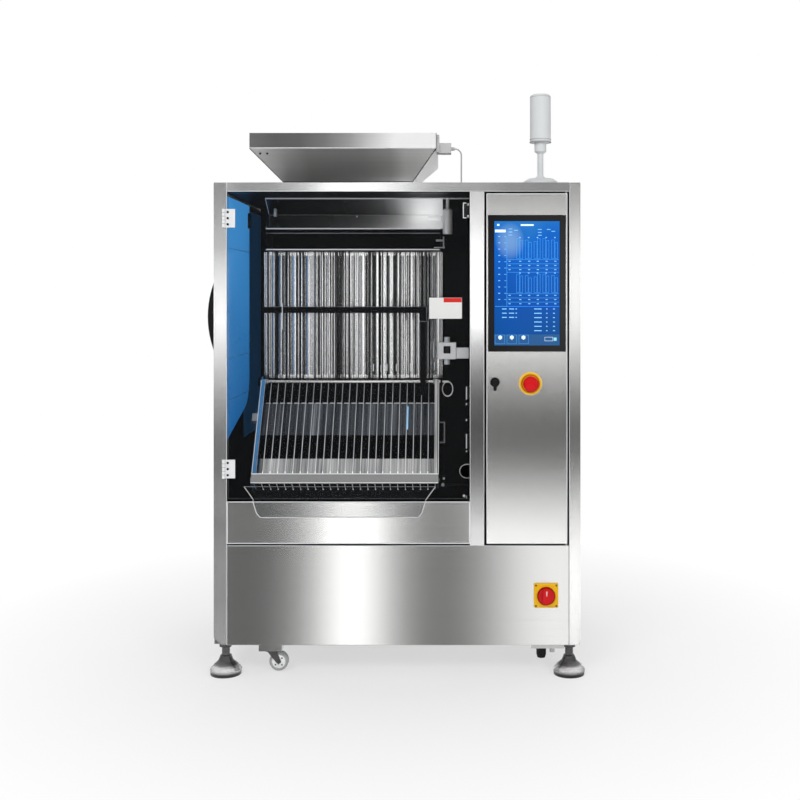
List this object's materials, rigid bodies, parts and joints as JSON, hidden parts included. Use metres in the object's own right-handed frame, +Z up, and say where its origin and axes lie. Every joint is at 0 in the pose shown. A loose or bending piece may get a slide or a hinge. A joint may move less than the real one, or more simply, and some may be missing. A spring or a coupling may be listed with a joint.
{
  "type": "capsule checkweigher",
  "caption": "Stainless capsule checkweigher on levelling feet, with a feed hopper, a clear front door over lanes of tubes, a blue side window and a control door with a screen.",
  "frame": {"origin": "on the floor under the middle of the machine", "axes": "+Z up, -Y towards the operator in front, +X towards the control door"},
  "size_m": [1.0246, 0.8293, 1.588],
  "materials": {
    "stainless": "brushed stainless sheet",
    "black_paint": "black anodised or painted",
    "black_plastic": "moulded black plastic",
    "grey_metal": "satin grey",
    "clear_acrylic": "clear polished sheet",
    "blue_acrylic": "blue tinted sheet",
    "screen_glass": "lit display behind glass",
    "yellow": "moulded yellow plastic",
    "red": "moulded red plastic",
    "lamp_plastic": "pale grey moulded plastic",
    "cable_grey": "grey cable sheath",
    "wheel_rubber": "grey rubber tread"
  },
  "bodies": {
    "cabinet": {"front_frame": "stainless", "left_post": "stainless", "front_fascia": "stainless", "sill_panel": "stainless", "top_plate": "stainless", "right_side_panel": "stainless", "lower_housing": "stainless", "back_panel": "stainless", "hopper": "stainless", "feeder_panel": "stainless", "tube_bank": "stainless", "chute_rod": "stainless", "latch_ring": "stainless", "side_hinge_upper": "stainless", "side_hinge_lower": "stainless", "foot_front_left": "stainless", "foot_front_right": "stainless", "foot_rear_left": "stainless", "foot_rear_right": "stainless", "bottom_pan": "stainless", "inlet_plate": "stainless", "partition_wall": "black_paint", "inner_back_wall": "black_paint", "bulkhead": "black_paint", "crossbar": "black_paint", "feeder_tray": "black_paint", "door_catch": "black_plastic", "air_inlet": "black_plastic", "hopper_sensor": "grey_metal", "sensor_block": "grey_metal", "feeder_drive": "grey_metal", "discharge_lip": "clear_acrylic", "switch_plate": "yellow", "lamp_stand": "lamp_plastic", "lamp": "lamp_plastic", "sensor_lead": "cable_grey"},
    "front_door_leaf": {"front_door": "clear_acrylic", "front_hinge_upper": "stainless", "front_hinge_lower": "stainless"},
    "side_door_leaf": {"side_door": "stainless", "side_window": "blue_acrylic", "side_door_handle": "black_plastic"},
    "control_door_leaf": {"control_door": "stainless", "screen_unit": "black_plastic", "display": "screen_glass", "stop_collar": "yellow"},
    "stop_head": {"stop_button": "red"},
    "key_plug": {"key_lock": "black_plastic"},
    "switch_grip": {"switch_knob": "red"},
    "discharge_chute": {"chute_frame": "stainless", "lane_dividers": "clear_acrylic", "lane_floor": "clear_acrylic"},
    "fork_front_left": {"caster_fork_front_left": "stainless"},
    "wheel_front_left": {"caster_wheel_front_left": "wheel_rubber"},
    "fork_rear_left": {"caster_fork_rear_left": "stainless"},
    "wheel_rear_left": {"caster_wheel_rear_left": "wheel_rubber"},
    "fork_rear_right": {"caster_fork_rear_right": "stainless"},
    "wheel_rear_right": {"caster_wheel_rear_right": "wheel_rubber"}
  },
  "joints": [
    {"name": "front_door_hinge", "type": "hinge", "parent": "cabinet", "child": "front_door_leaf", "pos_m": [-0.46475, -0.385, 0.9], "axis": [0, 0, -1], "range_deg": [0, 110]},
    {"name": "side_door_hinge", "type": "hinge", "parent": "cabinet", "child": "side_door_leaf", "pos_m": [-0.48245, 0.3883, 0.7], "axis": [0, 0, -1], "range_deg": [0, 100]},
    {"name": "control_door_hinge", "type": "hinge", "parent": "cabinet", "child": "control_door_leaf", "pos_m": [0.45875, -0.3772, 0.83], "axis": [0, 0, 1], "range_deg": [0, 110]},
    {"name": "stop_push", "type": "slide", "parent": "control_door_leaf", "child": "stop_head", "axis": [0, 1, 0], "range_m": [0, 0.005]},
    {"name": "key_turn", "type": "hinge", "parent": "control_door_leaf", "child": "key_plug", "pos_m": [0.26625, -0.3835, 0.795], "axis": [0, 1, 0], "range_deg": [0, 90]},
    {"name": "switch_turn", "type": "hinge", "parent": "cabinet", "child": "switch_grip", "pos_m": [0.40425, -0.3848, 0.22], "axis": [0, 1, 0], "range_deg": [0, 90]},
    {"name": "chute_swing", "type": "hinge", "parent": "cabinet", "child": "discharge_chute", "pos_m": [-0.14075, -0.1822, 0.781], "axis": [1, 0, 0], "range_deg": [0, 30]},
    {"name": "front_left_swivel", "type": "hinge", "parent": "cabinet", "child": "fork_front_left", "pos_m": [-0.34275, -0.3322, 0.063], "axis": [0, 0, 1], "continuous": true},
    {"name": "front_left_roll", "type": "hinge", "parent": "fork_front_left", "child": "wheel_front_left", "pos_m": [-0.32275, -0.3322, 0.029], "axis": [0, 1, 0], "continuous": true},
    {"name": "rear_left_swivel", "type": "hinge", "parent": "cabinet", "child": "fork_rear_left", "pos_m": [-0.34275, 0.3198, 0.063], "axis": [0, 0, 1], "continuous": true},
    {"name": "rear_left_roll", "type": "hinge", "parent": "fork_rear_left", "child": "wheel_rear_left", "pos_m": [-0.32275, 0.3198, 0.029], "axis": [0, 1, 0], "continuous": true},
    {"name": "rear_right_swivel", "type": "hinge", "parent": "cabinet", "child": "fork_rear_right", "pos_m": [0.34725, 0.3198, 0.063], "axis": [0, 0, 1], "continuous": true},
    {"name": "rear_right_roll", "type": "hinge", "parent": "fork_rear_right", "child": "wheel_rear_right", "pos_m": [0.36725, 0.3198, 0.029], "axis": [0, 1, 0], "continuous": true}
  ]
}
